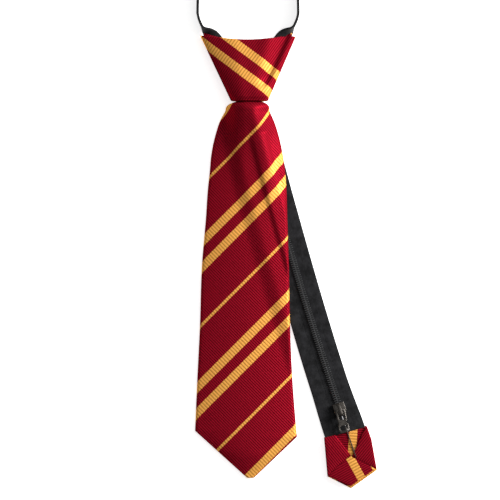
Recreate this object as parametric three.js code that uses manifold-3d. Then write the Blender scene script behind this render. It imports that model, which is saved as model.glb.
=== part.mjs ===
// A ready-tied necktie with a zip-adjusted neck loop, lying face up.
// X is to the right, Y runs from the point of the blade to the neck loop, Z is up.
// The origin is the middle of the knot's flat underside. All lengths are millimetres.
import * as THREE from 'three';
import { mergeVertices } from 'three/addons/utils/BufferGeometryUtils.js';
import Module from 'manifold-3d';

const wasm = await Module();
wasm.setup();

// Driving dimensions
const clearance = 0.3;
const clothWall = 1.2;
const knotWall = 2.0;
const knotWidth = 66;
const knotWaist = 25.8;
const knotHeight = 45.8;
const knotDepthTop = 13;
const knotDepthWaist = 17;
const innerWrapRise = 1;
const bladeLength = 261;
const bladeWidth = 70.7;
const bladeThickness = 3.6;
const bladeNeckHeight = 10;
const tailLength = 238;
const tailWidth = 25.4;
const tailMouthWidth = 27.4;
const tailLeanStart = 14;
const tailLeanEnd = 19;
const strapThickness = 1.8;
const strapWidth = 13;
const strapKnotWidth = 7;
const loopHalfWidth = 34.8;
const loopRise = 93;
const loopStandoff = 14.5;
const chainWidth = 4.8;
const chainHeight = 2.2;
const zipHeight = 2.2;
const tapeThickness = 0.5;
const tapeWidth = 2.2;
const sliderWidth = 8.3;
const sliderLength = 9.4;
const sliderPlate = 0.9;
const crownWidth = 2.2;
const crownThickness = 1.0;
const crownTunnel = 2.2;
const tabLength = 16.6;
const tabWidth = 7.4;
const tabNeckWidth = 6.6;
const tabThickness = 1.2;
const tabLean = 12;
const tabTilt = 6;
const linkWire = 0.8;
const linkLength = 22.4;
const linkSide = 1.2;
const linkLean = 19;
const tipLean = 17;
const tipWidth = 30.4;
const tipLength = 42;

// Colours of the cloths and the metal
const burgundy = new THREE.MeshStandardMaterial({ color: 0x7b060e, roughness: 0.5, metalness: 0 });
const blackCloth = new THREE.MeshStandardMaterial({ color: 0x202020, roughness: 0.9, metalness: 0 });
const gunmetal = new THREE.MeshStandardMaterial({ color: 0x3a3836, roughness: 0.35, metalness: 0.9 });

const radians = THREE.MathUtils.degToRad;
const mix = THREE.MathUtils.lerp;
const ease = (x, low, high) => THREE.MathUtils.smoothstep(x, low, high);

// The value of one column of a table at a share along it, on a smooth curve through its rows.
function along(table, at, column) {
  let i = table.findIndex((row) => row.at >= at);
  i = Math.min(Math.max(i < 0 ? table.length - 1 : i, 1), table.length - 1);
  const [a, b] = [table[i - 1], table[i]];
  const slope = (j) => {
    const low = table[Math.max(j - 1, 0)];
    const high = table[Math.min(j + 1, table.length - 1)];
    return (high[column] - low[column]) / (high.at - low.at);
  };
  const span = b.at - a.at;
  const t = THREE.MathUtils.clamp((at - a.at) / span, 0, 1);
  const ends = a[column] * (1 + 2 * t) * (1 - t) ** 2 + b[column] * t * t * (3 - 2 * t);
  return ends + span * (slope(i - 1) * t * (1 - t) ** 2 - slope(i) * t * t * (1 - t));
}

// A closed geometry from points and triangles, turned to face outwards.
function closed(points, triangles) {
  const corner = (k) => points[k];
  const volume = triangles.reduce(
    (sum, [a, b, c]) => sum + corner(a).dot(corner(b).clone().cross(corner(c))),
    0,
  );
  const faces = volume > 0 ? triangles : triangles.map(([a, b, c]) => [a, c, b]);
  const geometry = new THREE.BufferGeometry().setFromPoints(points);
  geometry.setIndex(faces.flat());
  geometry.computeVertexNormals();
  return geometry;
}

// The triangles of a grid of rows and columns of points that are numbered from a start.
function gridFaces(rows, columns, start, joined) {
  const faces = [];
  for (let i = 0; i < rows - 1; i += 1) {
    for (let j = 0; j < (joined ? columns : columns - 1); j += 1) {
      const k = (j + 1) % columns;
      const [a, b] = [start + i * columns + j, start + i * columns + k];
      const [c, d] = [a + columns, b + columns];
      faces.push([a, b, c], [b, d, c]);
    }
  }
  return faces;
}

// A slab between an upper and a lower surface, each given as point(share across, share along).
function slab(upper, lower, across, lengthwise) {
  const points = [];
  for (const surface of [upper, lower]) {
    for (let i = 0; i <= lengthwise; i += 1) {
      for (let j = 0; j <= across; j += 1) {
        points.push(surface(j / across, i / lengthwise));
      }
    }
  }
  const columns = across + 1;
  const half = columns * (lengthwise + 1);
  const top = gridFaces(lengthwise + 1, columns, 0, false);
  const bottom = gridFaces(lengthwise + 1, columns, half, false).map(([a, b, c]) => [a, c, b]);
  const rim = [];
  for (let j = 0; j < columns; j += 1) rim.push(j);
  for (let i = 1; i <= lengthwise; i += 1) rim.push(i * columns + across);
  for (let j = across - 1; j >= 0; j -= 1) rim.push(lengthwise * columns + j);
  for (let i = lengthwise - 1; i > 0; i -= 1) rim.push(i * columns);
  const sides = rim.flatMap((a, n) => {
    const b = rim[(n + 1) % rim.length];
    return [[b, a, a + half], [b, a + half, b + half]];
  });
  return closed(points, [...top, ...bottom, ...sides]);
}

// A hollow sleeve with open ends: its outer and inner walls are point(share round, share along).
function sleeve(outer, inner, round, lengthwise) {
  const points = [];
  for (const [surface, reversed] of [[outer, false], [inner, true]]) {
    for (let i = 0; i <= lengthwise; i += 1) {
      const v = reversed ? 1 - i / lengthwise : i / lengthwise;
      for (let j = 0; j < round; j += 1) points.push(surface(j / round, v));
    }
  }
  const rows = 2 * (lengthwise + 1);
  const wrap = [];
  for (let j = 0; j < round; j += 1) {
    const k = (j + 1) % round;
    const last = (rows - 1) * round;
    wrap.push([last + j, last + k, j], [last + k, k, j]);
  }
  return closed(points, [...gridFaces(rows, round, 0, true), ...wrap]);
}

// A wire bent round a closed curve that lies in a plane.
function closedWire(curve, planeNormal, radius, sides, steps) {
  const points = [];
  for (let i = 0; i <= steps; i += 1) {
    const centre = curve.getPoint((i % steps) / steps);
    const outward = curve.getTangent((i % steps) / steps).cross(planeNormal).normalize();
    for (let j = 0; j < sides && i < steps; j += 1) {
      const turn = (2 * Math.PI * j) / sides;
      points.push(
        centre.clone()
          .addScaledVector(planeNormal, radius * Math.cos(turn))
          .addScaledVector(outward, radius * Math.sin(turn)),
      );
    }
  }
  const faces = gridFaces(steps + 1, sides, 0, true);
  return closed(points, faces.map((face) => face.map((k) => k % points.length)));
}

// A closed geometry as a solid for joining and cutting, and back.
function solidOf(geometry) {
  const bare = new THREE.BufferGeometry();
  bare.setAttribute('position', geometry.getAttribute('position').clone());
  if (geometry.index) bare.setIndex(geometry.index.clone());
  const merged = mergeVertices(bare, 1e-4);
  return new wasm.Manifold(new wasm.Mesh({
    numProp: 3,
    vertProperties: new Float32Array(merged.getAttribute('position').array),
    triVerts: new Uint32Array(merged.index.array),
  }));
}

function geometryOf(solid) {
  const mesh = solid.getMesh();
  const geometry = new THREE.BufferGeometry();
  geometry.setAttribute('position', new THREE.BufferAttribute(mesh.vertProperties.slice(), 3));
  geometry.setIndex(new THREE.BufferAttribute(mesh.triVerts.slice(), 1));
  geometry.computeVertexNormals();
  return geometry;
}

// A plate with an outline of [across, along] points, from one height to another.
function plate(outline, low, high, holes = []) {
  const shape = new THREE.Shape(outline.map(([x, y]) => new THREE.Vector2(x, y)));
  for (const hole of holes) {
    shape.holes.push(new THREE.Path(hole.map(([x, y]) => new THREE.Vector2(x, y))));
  }
  const geometry = new THREE.ExtrudeGeometry(shape, { depth: high - low, bevelEnabled: false });
  return geometry.translate(0, 0, low);
}

// A rectangle of the plan, from corner to corner.
const rectangle = (left, low, right, high) => [
  [left, low], [right, low], [right, high], [left, high],
];

const tie = new THREE.Group();

function add(name, geometry, material, parent = tie) {
  const mesh = new THREE.Mesh(geometry, material);
  mesh.name = name;
  parent.add(mesh);
  return mesh;
}

// Knot: two nested wraps of padded cloth, open above and below, flat where they rest

const knotBottom = -knotHeight / 2;
const knotSquareness = 2 / 3.4;
const restingLobe = 1.2;
const knotTopDip = 3.9;
const cornerRounding = 3.2;
const knotWaistShift = 1;

const knotHalfWidth = (v) => mix(knotWaist, knotWidth, v) / 2;
const knotDepth = (v) => mix(knotDepthWaist, knotDepthTop, v);

// A point of a wrap wall that lies inset from the knot's outer skin.
function wrapPoint(inset, rise, rounding, t, v) {
  const [c, s] = [Math.cos(2 * Math.PI * t), Math.sin(2 * Math.PI * t)];
  const share = Math.sign(c) * Math.abs(c) ** knotSquareness;
  const lobe = Math.sign(s) * Math.abs(s) ** knotSquareness * (s < 0 ? restingLobe : 1);
  const half = knotDepth(v) / 2;
  const x = mix(knotWaistShift, 0, v) + share * (knotHalfWidth(v) - inset);
  const z = Math.max(inset, half + lobe * (half - inset));
  const topEdge = knotHeight / 2 - knotTopDip * (1 - share ** 2);
  const cut = rounding * share ** 8 - rise * (2 * share ** 2 - 1);
  return new THREE.Vector3(x, mix(knotBottom, topEdge - cut, v), z);
}

function wrap(inset, wall, rise, rounding) {
  return sleeve(
    (t, v) => wrapPoint(inset, rise, rounding, t, v),
    (t, v) => wrapPoint(inset + wall, rise, rounding, t, v),
    40,
    8,
  );
}

const innerWrapInset = knotWall + clearance;
const knotHollow = innerWrapInset + clothWall;
add('knot_outer_wrap', wrap(0, knotWall, 0, cornerRounding), burgundy);
add('knot_inner_wrap', wrap(innerWrapInset, clothWall, innerWrapRise, 0), burgundy);

// Tail: it leaves the knot on a gentle arc; s is the share along it, offset is to its right

const leanStart = radians(tailLeanStart);
const leanEnd = radians(tailLeanEnd);
const tailRadius = tailLength / (leanEnd - leanStart);
const tailStart = new THREE.Vector2(knotWaistShift, knotBottom);
const tailCentre = new THREE.Vector2(Math.cos(leanStart), Math.sin(leanStart))
  .multiplyScalar(tailRadius)
  .add(tailStart);

const tailLeanAt = (s) => mix(leanStart, leanEnd, s);

function tailPoint(s, offset, z) {
  const lean = tailLeanAt(s);
  const reach = tailRadius - offset;
  return new THREE.Vector3(
    tailCentre.x - reach * Math.cos(lean),
    tailCentre.y - reach * Math.sin(lean),
    z,
  );
}

function tailShareAndOffset(x, y) {
  const back = tailCentre.clone().sub(new THREE.Vector2(x, y));
  const s = (back.angle() - leanStart) / (leanEnd - leanStart);
  return [s, tailRadius - back.length()];
}

// The strips lie flat, rise into the knot at the top and into the tip's pocket at the bottom.
const spreadShare = 0.14;
const pocketRiseShare = 0.955;
const pocketEntryShare = 0.985;
const pocketDepth = 20;
const pocketShare = pocketDepth / tailLength;
const zipWidth = chainWidth + 2 * tapeWidth;
const strapInKnot = knotHollow + 4 * clearance + strapThickness / 2;
const strapInPocket = clothWall + clearance + strapThickness / 2;

const spread = (s) => ease(s, 0, spreadShare);
const pocketRise = (s) => ease(s, pocketRiseShare, pocketEntryShare);

function strapHeight(s) {
  const lying = strapThickness / 2;
  return mix(strapInKnot, lying, spread(s)) + (strapInPocket - lying) * pocketRise(s);
}

function strapWidthAt(s) {
  const whole = mix(tailWidth, tailMouthWidth, ease(s, 0.85, 1));
  return mix(strapKnotWidth, (whole - zipWidth) / 2 - clearance, spread(s));
}

const strapOffset = (s) => mix(clearance, zipWidth / 2 + clearance, spread(s)) + strapWidthAt(s) / 2;

// Route of a strip from the knot's waist to its top corner: x is a share of half the knot's width,
// y a share of its height, up a share of the hollow's spare height.
const knotRoute = [
  { x: 0.17, y: -0.3, up: 0.05 },
  { x: 0.23, y: -0.08, up: 0.1 },
  { x: 0.4, y: 0.14, up: 0.2 },
  { x: 0.5, y: 0.31, up: 0.35 },
  { x: 0.59, y: 0.42, up: 0.5 },
  { x: 0.65, y: 0.51, up: 0.6 },
];
const loopBase = knotHeight / 2 + loopStandoff;
const edgeHeight = strapWidth / 2 + clearance;

function strapStations(side) {
  const stations = [];
  const tailSteps = 26;
  for (let i = tailSteps; i >= 0; i -= 1) {
    const s = (i / tailSteps) ** 1.3 * (1 + pocketShare - clearance / tailLength);
    const point = tailPoint(s, side * strapOffset(s), strapHeight(s));
    stations.push({ point, width: strapWidthAt(s), turn: 0 });
  }
  const spare = edgeHeight - strapInKnot;
  const inside = knotRoute.map(({ x, y, up }) => new THREE.Vector3(
    side * x * (knotWidth / 2) + mix(knotWaistShift, 0, y + 0.5),
    y * knotHeight,
    strapInKnot + up * spare,
  ));
  const gate = new THREE.Vector3(side * loopHalfWidth, loopBase, edgeHeight);
  const bend = new THREE.Vector3(side * loopHalfWidth * 0.965, loopBase - loopStandoff * 0.32, edgeHeight);
  const route = new THREE.CatmullRomCurve3([stations.at(-1).point, ...inside, bend, gate]);
  const routeSteps = 22;
  for (let i = 1; i <= routeSteps; i += 1) {
    const point = route.getPoint(i / routeSteps);
    const out = ease(point.y, knotHeight * 0.5, loopBase - loopStandoff * 0.2);
    stations.push({ point, width: mix(strapKnotWidth, strapWidth, out ** 3), turn: out });
  }
  const loopSteps = 20;
  for (let i = 1; i <= loopSteps; i += 1) {
    const angle = (Math.PI / 2) * (i / loopSteps);
    const point = new THREE.Vector3(
      side * Math.max(loopHalfWidth * Math.cos(angle), clearance / 2),
      loopBase + loopRise * Math.sin(angle),
      edgeHeight,
    );
    stations.push({ point, width: strapWidth, turn: 1 });
  }
  return stations;
}

function strap(side) {
  const stations = strapStations(side);
  const last = stations.length - 1;
  const frames = stations.map(({ point, width, turn }, i) => {
    const before = stations[Math.max(i - 1, 0)].point;
    const after = stations[Math.min(i + 1, last)].point;
    const ahead = after.clone().sub(before).setZ(0).normalize();
    const flat = new THREE.Vector3(ahead.y, -ahead.x, 0);
    const across = flat.applyAxisAngle(ahead, (side * turn * Math.PI) / 2);
    return { point, width, across, up: across.clone().cross(ahead) };
  });
  const face = (level) => (u, v) => {
    const frame = frames[Math.round(v * last)];
    return frame.point.clone()
      .addScaledVector(frame.across, (u - 0.5) * frame.width)
      .addScaledVector(frame.up, level * (strapThickness / 2));
  };
  return slab(face(1), face(-1), 2, last);
}

add('strap_left', strap(-1), blackCloth);
add('strap_right', strap(1), blackCloth);

// Zip: two narrow tapes beside a closed chain, from below the knot to the slider

const chainStart = 0.15;
const sliderShare = 0.936;
const chainEnd = sliderShare + (sliderLength * 0.3) / tailLength;
const tapeEnd = 1 + (pocketDepth - clearance) / tailLength;
const zipRise = (s) => (strapInPocket - strapThickness / 2) * pocketRise(s);

function tailStrip(start, end, offset, width, middle, thickness, crown, steps) {
  const face = (side) => (u, v) => {
    const s = mix(start, end, v);
    const shoulder = u > 0.2 && u < 0.8 ? 1 : crown;
    const z = middle + zipRise(s) + (side * shoulder * thickness) / 2;
    return tailPoint(s, offset + (u - 0.5) * width, z);
  };
  return slab(face(1), face(-1), 3, steps);
}

add(
  'zip_chain',
  tailStrip(chainStart, chainEnd, 0, chainWidth, zipHeight, chainHeight, 0.5, 24),
  gunmetal,
);
const tapeMiddle = (chainWidth + tapeWidth) / 2 + clearance / 2;
for (const [name, side] of [['zip_tape_left', -1], ['zip_tape_right', 1]]) {
  const visible = tapeWidth - clearance;
  const strip = tailStrip(
    chainStart, tapeEnd, side * tapeMiddle, visible, zipHeight - 0.6, tapeThickness, 1, 24,
  );
  add(name, strip, blackCloth);
}

// Blade: a padded fold that leaves the knot gathered, with a dimple, and drapes over the tail

// at is a share of the blade's length, left and right are shares of half its width,
// lift and dimple are shares of its height at the neck.
const bladeOutline = [
  { at: -0.04, left: -0.18, right: 0.24, lift: 0.16, dimple: 0 },
  { at: 0.001, left: -0.2, right: 0.255, lift: 0.2, dimple: 0.05 },
  { at: 0.007, left: -0.36, right: 0.385, lift: 0.5, dimple: 0.25 },
  { at: 0.03, left: -0.455, right: 0.43, lift: 0.68, dimple: 0.45 },
  { at: 0.054, left: -0.55, right: 0.51, lift: 0.7, dimple: 0.5 },
  { at: 0.086, left: -0.628, right: 0.589, lift: 0.62, dimple: 0.42 },
  { at: 0.118, left: -0.687, right: 0.648, lift: 0.52, dimple: 0.33 },
  { at: 0.15, left: -0.726, right: 0.691, lift: 0.43, dimple: 0.24 },
  { at: 0.182, left: -0.746, right: 0.722, lift: 0.35, dimple: 0.15 },
  { at: 0.235, left: -0.787, right: 0.754, lift: 0.22, dimple: 0.05 },
  { at: 0.309, left: -0.824, right: 0.77, lift: 0.1, dimple: 0 },
  { at: 0.437, left: -0.903, right: 0.8, lift: 0.04, dimple: 0 },
  { at: 0.596, left: -0.942, right: 0.825, lift: 0, dimple: 0 },
  { at: 0.756, left: -1.0, right: 0.88, lift: 0, dimple: 0 },
  { at: 0.9, left: -1.045, right: 0.965, lift: 0, dimple: 0 },
];
const leftShoulder = { at: 0.875, x: -1.04 };
const rightShoulder = { at: 0.891, x: 0.963 };
const bladeTip = { left: -0.02, right: 0.12 };
const dimpleCentre = -0.27;
const dimpleHalfWidth = 0.1;
const edgeShare = 0.45;

function bladeEdge(at, column, shoulder) {
  if (at <= shoulder.at) return along(bladeOutline, at, column);
  return mix(shoulder.x, bladeTip[column], (at - shoulder.at) / (1 - shoulder.at));
}

// Height that the blade has to clear at a place over the tail and the zip.
function supportHeight(x, y) {
  const [s, offset] = tailShareAndOffset(x, y);
  const reach = Math.abs(offset);
  const strips = strapHeight(Math.max(s, 0)) + strapThickness / 2 + 2 * clearance;
  const chain = zipHeight + chainHeight / 2 + 2 * clearance;
  const centre = s > chainStart - 0.05 ? Math.max(chain, strips) : strips;
  const overStrips = mix(centre, strips, ease(reach, chainWidth / 2 + 1, chainWidth / 2 + 5));
  const half = strapOffset(Math.max(s, 0)) + strapWidthAt(Math.max(s, 0)) / 2;
  return overStrips * (1 - ease(reach, half + 2, half + 14));
}

function bladePoint(u, at, upper) {
  const left = bladeEdge(at, 'left', leftShoulder);
  const right = bladeEdge(at, 'right', rightShoulder);
  const x = (mix(left, right, u) * bladeWidth) / 2;
  const y = knotBottom - at * bladeLength;
  const lobe = 1 - Math.abs(2 * u - 1) ** 2.2;
  const base = supportHeight(x, y) + bladeNeckHeight * along(bladeOutline, at, 'lift') * lobe * 0.35;
  if (!upper) return new THREE.Vector3(x, y, base);
  const edge = mix(edgeShare, 1, Math.sqrt(1 - Math.abs(2 * u - 1) ** 6));
  const valley = ((2 * x) / bladeWidth - dimpleCentre) / dimpleHalfWidth;
  const lift = along(bladeOutline, at, 'lift') * lobe * 0.65;
  const dimple = along(bladeOutline, at, 'dimple') * Math.exp(-(valley ** 2)) * lobe * 0.6;
  return new THREE.Vector3(x, y, base + bladeThickness * edge + bladeNeckHeight * (lift - dimple));
}

const bladeRows = [
  ...bladeOutline.filter((row) => row.at < leftShoulder.at).map((row) => row.at),
  leftShoulder.at, rightShoulder.at, 1,
].flatMap((at, i, all) => (i ? [(all[i - 1] + at) / 2, at] : [at]));
const bladeSurface = (upper) => (u, v) => (
  bladePoint(u, bladeRows[Math.round(v * (bladeRows.length - 1))], upper)
);
add('blade', slab(bladeSurface(true), bladeSurface(false), 24, bladeRows.length - 1), burgundy);

// Slider: a body round the end of the chain, with a channel, tape slots and a crown over the pull

const sliderGroup = new THREE.Group();
sliderGroup.position.copy(tailPoint(sliderShare, 0, 0));
sliderGroup.rotation.z = tailLeanAt(sliderShare);
tie.add(sliderGroup);

const sliderLow = clearance;
const channelLow = zipHeight - chainHeight / 2 - clearance;
const channelHigh = zipHeight + chainHeight / 2 + clearance;
const sliderTop = channelHigh + sliderPlate;
const tapeSlotLow = zipHeight - 0.6 - tapeThickness / 2 - clearance;
const tapeSlotHigh = zipHeight - 0.6 + tapeThickness / 2 + 2 * clearance;
const postWidth = 2;
const endTaper = 0.72;

function sliderBody() {
  const [w, h] = [sliderWidth / 2, sliderLength / 2];
  const outline = [
    [-w * endTaper, -h], [w * endTaper, -h], [w, -h * 0.2],
    [w * 0.95, h], [-w * 0.95, h], [-w, -h * 0.2],
  ];
  const chainHalf = chainWidth / 2 + clearance;
  const channel = plate(rectangle(-chainHalf, -h * 0.75, chainHalf, h + 1), channelLow, channelHigh);
  let body = solidOf(plate(outline, sliderLow, sliderTop)).subtract(solidOf(channel));
  for (const side of [-1, 1]) {
    const [near, far] = [(side * postWidth) / 2, side * (w + 1)];
    const slot = rectangle(Math.min(near, far), -h - 1, Math.max(near, far), h + 1);
    body = body.subtract(solidOf(plate(slot, tapeSlotLow, tapeSlotHigh)));
  }
  return body.add(solidOf(crown()));
}

// The crown's side outline is drawn along and up, then stood across the slider.
function crown() {
  const half = sliderLength / 2;
  const high = sliderTop + crownTunnel + crownThickness;
  const foot = sliderTop - sliderPlate / 2;
  const inner = half - crownThickness;
  const round = 1.4;
  const outline = [
    [-half, foot], [-half, high - round], [-half + round, high], [half - round, high],
    [half, high - round], [half, foot], [inner, foot], [inner, high - round - crownThickness / 2],
    [inner - round / 2, high - crownThickness], [-inner + round / 2, high - crownThickness],
    [-inner, high - round - crownThickness / 2], [-inner, foot],
  ];
  const arch = plate(outline, -crownWidth / 2, crownWidth / 2);
  return arch.rotateX(Math.PI / 2).rotateZ(Math.PI / 2);
}

add('slider', geometryOf(sliderBody()), gunmetal, sliderGroup);

// Pull tab: its top bar lies in the crown's tunnel, which is its hinge

const barWidth = 1.3;
const hingeHeight = sliderTop + crownTunnel / 2;
const hingeAlong = 0.1;
const hinge = tailPoint(sliderShare + hingeAlong / tailLength, 0, hingeHeight);
const upperHoleLength = 6.4;
const upperHoleWidth = 4;
const lowerHoleStart = 11.2;
const lowerHoleWidth = 5.4;

const pullGroup = new THREE.Group();
pullGroup.position.copy(hinge);
pullGroup.rotation.set(-radians(tabTilt), 0, radians(tabLean), 'ZYX');
tie.add(pullGroup);

function roundedBox(halfWidth, from, to, corner) {
  return [
    [-halfWidth + corner, -to], [halfWidth - corner, -to], [halfWidth, -to + corner],
    [halfWidth, -from - corner], [halfWidth - corner, -from], [-halfWidth + corner, -from],
    [-halfWidth, -from - corner], [-halfWidth, -to + corner],
  ];
}

const tabStart = -barWidth / 2;
const tabEnd = tabStart + tabLength;
const waist = (tabStart + barWidth + upperHoleLength + lowerHoleStart) / 2;
const tabOutline = [
  [-tabWidth / 2 + 1, -tabEnd], [tabWidth / 2 - 1, -tabEnd], [tabWidth / 2, -tabEnd + 1],
  [tabWidth / 2, -lowerHoleStart], [tabNeckWidth / 2 - 0.6, -waist], [tabNeckWidth / 2, -waist + 3],
  [tabNeckWidth / 2, -tabStart - 1], [tabNeckWidth / 2 - 1, -tabStart],
  [-tabNeckWidth / 2 + 1, -tabStart], [-tabNeckWidth / 2, -tabStart - 1],
  [-tabNeckWidth / 2, -waist + 3], [-tabNeckWidth / 2 + 0.6, -waist],
  [-tabWidth / 2, -lowerHoleStart], [-tabWidth / 2, -tabEnd + 1],
];
const upperHole = roundedBox(
  upperHoleWidth / 2, tabStart + barWidth, tabStart + barWidth + upperHoleLength, 0.7,
);
const lowerHole = roundedBox(lowerHoleWidth / 2, lowerHoleStart, tabEnd - barWidth, 1.2);
const tab = plate(tabOutline, -tabThickness / 2, tabThickness / 2, [
  [...upperHole].reverse(), [...lowerHole].reverse(),
]);
add('pull_tab', tab, gunmetal, pullGroup);

// Link: a thin wire loop through the tab's lower hole, its far end in the V of the tip's pocket

const linkStart = lowerHoleStart + linkWire / 2 + clearance;
const linkLow = 0.25;
const linkHigh = 3.2;
const linkGroup = new THREE.Group();
const towardsLink = new THREE.Vector3(linkSide, -linkStart, 0);
towardsLink.applyAxisAngle(new THREE.Vector3(0, 0, 1), radians(tabLean));
linkGroup.position.copy(hinge).add(towardsLink);
linkGroup.rotation.z = radians(linkLean);
tie.add(linkGroup);
const linkPath = new THREE.CatmullRomCurve3([
  new THREE.Vector3(0, 0, linkHigh - 1),
  new THREE.Vector3(0, -1, linkHigh),
  new THREE.Vector3(0, -linkLength * 0.25, linkHigh - 0.1),
  new THREE.Vector3(0, -linkLength * 0.65, mix(linkLow, linkHigh, 0.7)),
  new THREE.Vector3(0, -linkLength + 0.8, mix(linkLow, linkHigh, 0.42)),
  new THREE.Vector3(0, -linkLength, mix(linkLow, linkHigh, 0.21)),
  new THREE.Vector3(0, -linkLength + 0.8, linkLow),
  new THREE.Vector3(0, -linkLength * 0.5, linkLow),
  new THREE.Vector3(0, -1, linkLow),
  new THREE.Vector3(0, 0, linkLow + 1),
], true);
const link = closedWire(linkPath, new THREE.Vector3(1, 0, 0), linkWire / 2, 6, 44);
add('pull_ring', link, gunmetal, linkGroup);

// Tip: cloth folded over the ends of the strips, with a pocket and a V between its two flaps

const tipGroup = new THREE.Group();
const mouth = tailPoint(1, 0, 0);
tipGroup.position.copy(mouth);
tipGroup.rotation.z = radians(tipLean);
tie.add(tipGroup);

// Corners of the folded end: x is a share of its width, y a share of its length from the mouth.
const tipCorners = [
  { x: -0.5, y: 0 }, { x: -0.43, y: 0.73 }, { x: 0.04, y: 1 },
  { x: 0.57, y: 0.77 }, { x: 0.55, y: 0.27 }, { x: 0.5, y: 0 },
];
const vCorners = [{ x: -0.25, y: -0.1 }, { x: 0.0, y: 0.6 }, { x: 0.47, y: -0.1 }];
const tipPlan = (corners) => corners.map(({ x, y }) => [x * tipWidth, -y * tipLength]);
const pocketHigh = strapInPocket + strapThickness / 2 + 2 * clearance;
const innerLayerTop = pocketHigh + clothWall;
const tipTop = innerLayerTop + clothWall;

function tip() {
  const whole = solidOf(plate(tipPlan(tipCorners), 0, tipTop));
  const half = tipWidth / 2 - clothWall / 2;
  const pocket = plate(rectangle(-half, -pocketDepth - 2, half, 2), clothWall, pocketHigh);
  const notch = plate(tipPlan(vCorners).reverse(), innerLayerTop, tipTop + 1);
  return whole.subtract(solidOf(pocket)).subtract(solidOf(notch));
}

add('tail_tip', geometryOf(tip()), burgundy, tipGroup);

export default tie;
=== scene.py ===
"""A ready-tied striped necktie with a zip tail, lying face up: its finish and lighting.

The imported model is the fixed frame. Lengths in the shape functions are millimetres, in the
frame's own axes: X right, Y from the blade's point to the neck loop, Z up.
"""
import math

import bmesh
import bpy
import numpy as np
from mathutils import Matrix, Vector


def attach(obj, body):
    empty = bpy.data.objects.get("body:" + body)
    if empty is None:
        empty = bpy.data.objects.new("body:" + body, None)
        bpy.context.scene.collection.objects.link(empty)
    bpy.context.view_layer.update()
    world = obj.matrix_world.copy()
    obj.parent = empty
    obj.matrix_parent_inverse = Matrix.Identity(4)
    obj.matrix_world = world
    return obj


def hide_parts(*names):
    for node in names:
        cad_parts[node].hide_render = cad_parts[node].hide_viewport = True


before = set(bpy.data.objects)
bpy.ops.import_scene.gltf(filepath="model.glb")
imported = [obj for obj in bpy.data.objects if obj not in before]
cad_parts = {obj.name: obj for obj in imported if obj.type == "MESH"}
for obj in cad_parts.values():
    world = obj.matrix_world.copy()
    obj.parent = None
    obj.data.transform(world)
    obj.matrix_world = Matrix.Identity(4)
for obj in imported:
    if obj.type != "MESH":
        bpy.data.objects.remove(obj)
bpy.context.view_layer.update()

MM = 0.001
PIXEL_MM = 0.693
KNOT_AXIS_PIXEL = 248
KNOT_MIDDLE_PIXEL = 68
PHOTO_PIXELS = 500

# Cloth pattern, across the stripes
STRIPE_REPEAT_MM = 69.0
THIN_STRIPE_MM = 1.9
WIDE_STRIPE_MM = 5.6
STRIPE_SOFTNESS_MM = 0.12
FIRST_WIDE_AT_MM = 28.4
SECOND_WIDE_AT_MM = 40.9
BLADE_PHASE_MM = 34.1
RED_RIB_MM = 1.5
GOLD_RIB_MM = 2.0


# Scene helpers

def linear(hex_colour):
    """Linear red, green, blue and alpha of an sRGB hex colour such as 'a91a2b'."""
    parts = np.array([int(hex_colour[i:i + 2], 16) for i in (0, 2, 4)]) / 255
    low = parts / 12.92
    high = ((parts + 0.055) / 1.055) ** 2.4
    return (*np.where(parts <= 0.04045, low, high), 1.0)


def grid_faces(rows, columns, start=0, joined=False):
    """Quads of a grid of rows and columns of points; joined closes each row into a ring."""
    spans = columns if joined else columns - 1
    i, j = np.meshgrid(np.arange(rows - 1), np.arange(spans), indexing="ij")
    k = (j + 1) % columns
    a, b = start + i * columns + j, start + i * columns + k
    return np.stack([a, b, b + columns, a + columns], -1).reshape(-1, 4)


def mesh_piece(name, points, faces, material, cloth=None, *, slot, smooth=True):
    """A mesh object of the tie, at the origin, from points in millimetres.

    cloth holds each point's place on the flat cloth: across the stripes and along them.
    """
    mesh = bpy.data.meshes.new(name)
    mesh.from_pydata((np.asarray(points, float) * MM).tolist(), [], [list(f) for f in faces])
    if cloth is not None:
        layer = mesh.attributes.new("cloth", "FLOAT_VECTOR", "POINT")
        flat = np.zeros((len(points), 3), np.float32)
        flat[:, :cloth.shape[1]] = cloth
        layer.data.foreach_set("vector", flat.ravel())
    mesh.polygons.foreach_set("use_smooth", np.full(len(mesh.polygons), smooth))
    mesh.materials.append(material)
    mesh.update()
    piece = bpy.data.objects.new(name, mesh)
    bpy.context.scene.collection.objects.link(piece)
    outward(piece)
    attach(piece, "tie")
    return piece


def outward(piece):
    """Turns every face of a closed mesh outwards: the signed volume has to be positive."""
    shape = bmesh.new()
    shape.from_mesh(piece.data)
    bmesh.ops.recalc_face_normals(shape, faces=shape.faces)
    if shape.calc_volume(signed=True) < 0:
        bmesh.ops.reverse_faces(shape, faces=shape.faces)
    shape.to_mesh(piece.data)
    shape.free()


def loft(rings):
    """Points and faces of a tube through rings[k, n, 3], its ends closed by a fan at their middle."""
    count, around = rings.shape[:2]
    points = rings.reshape(-1, 3)
    faces = [tuple(f) for f in grid_faces(count, around, 0, True)]
    ends = [rings[0].mean(0), rings[-1].mean(0)]
    for end, start in enumerate((0, (count - 1) * around)):
        hub = len(points) + end
        turn = range(around) if end else range(around - 1, -1, -1)
        faces += [(start + j, start + (j + (1 if end else -1)) % around, hub) for j in turn]
    return np.vstack([points, ends]), faces


def smoothstep(x, low, high):
    t = np.clip((x - low) / (high - low), 0, 1)
    return t * t * (3 - 2 * t)


def bump(x, centre, width):
    """A bell: one at the centre, falling off over the width."""
    return np.exp(-((x - centre) / width) ** 2)


# Shared sizes of the fixed model, in millimetres

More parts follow.
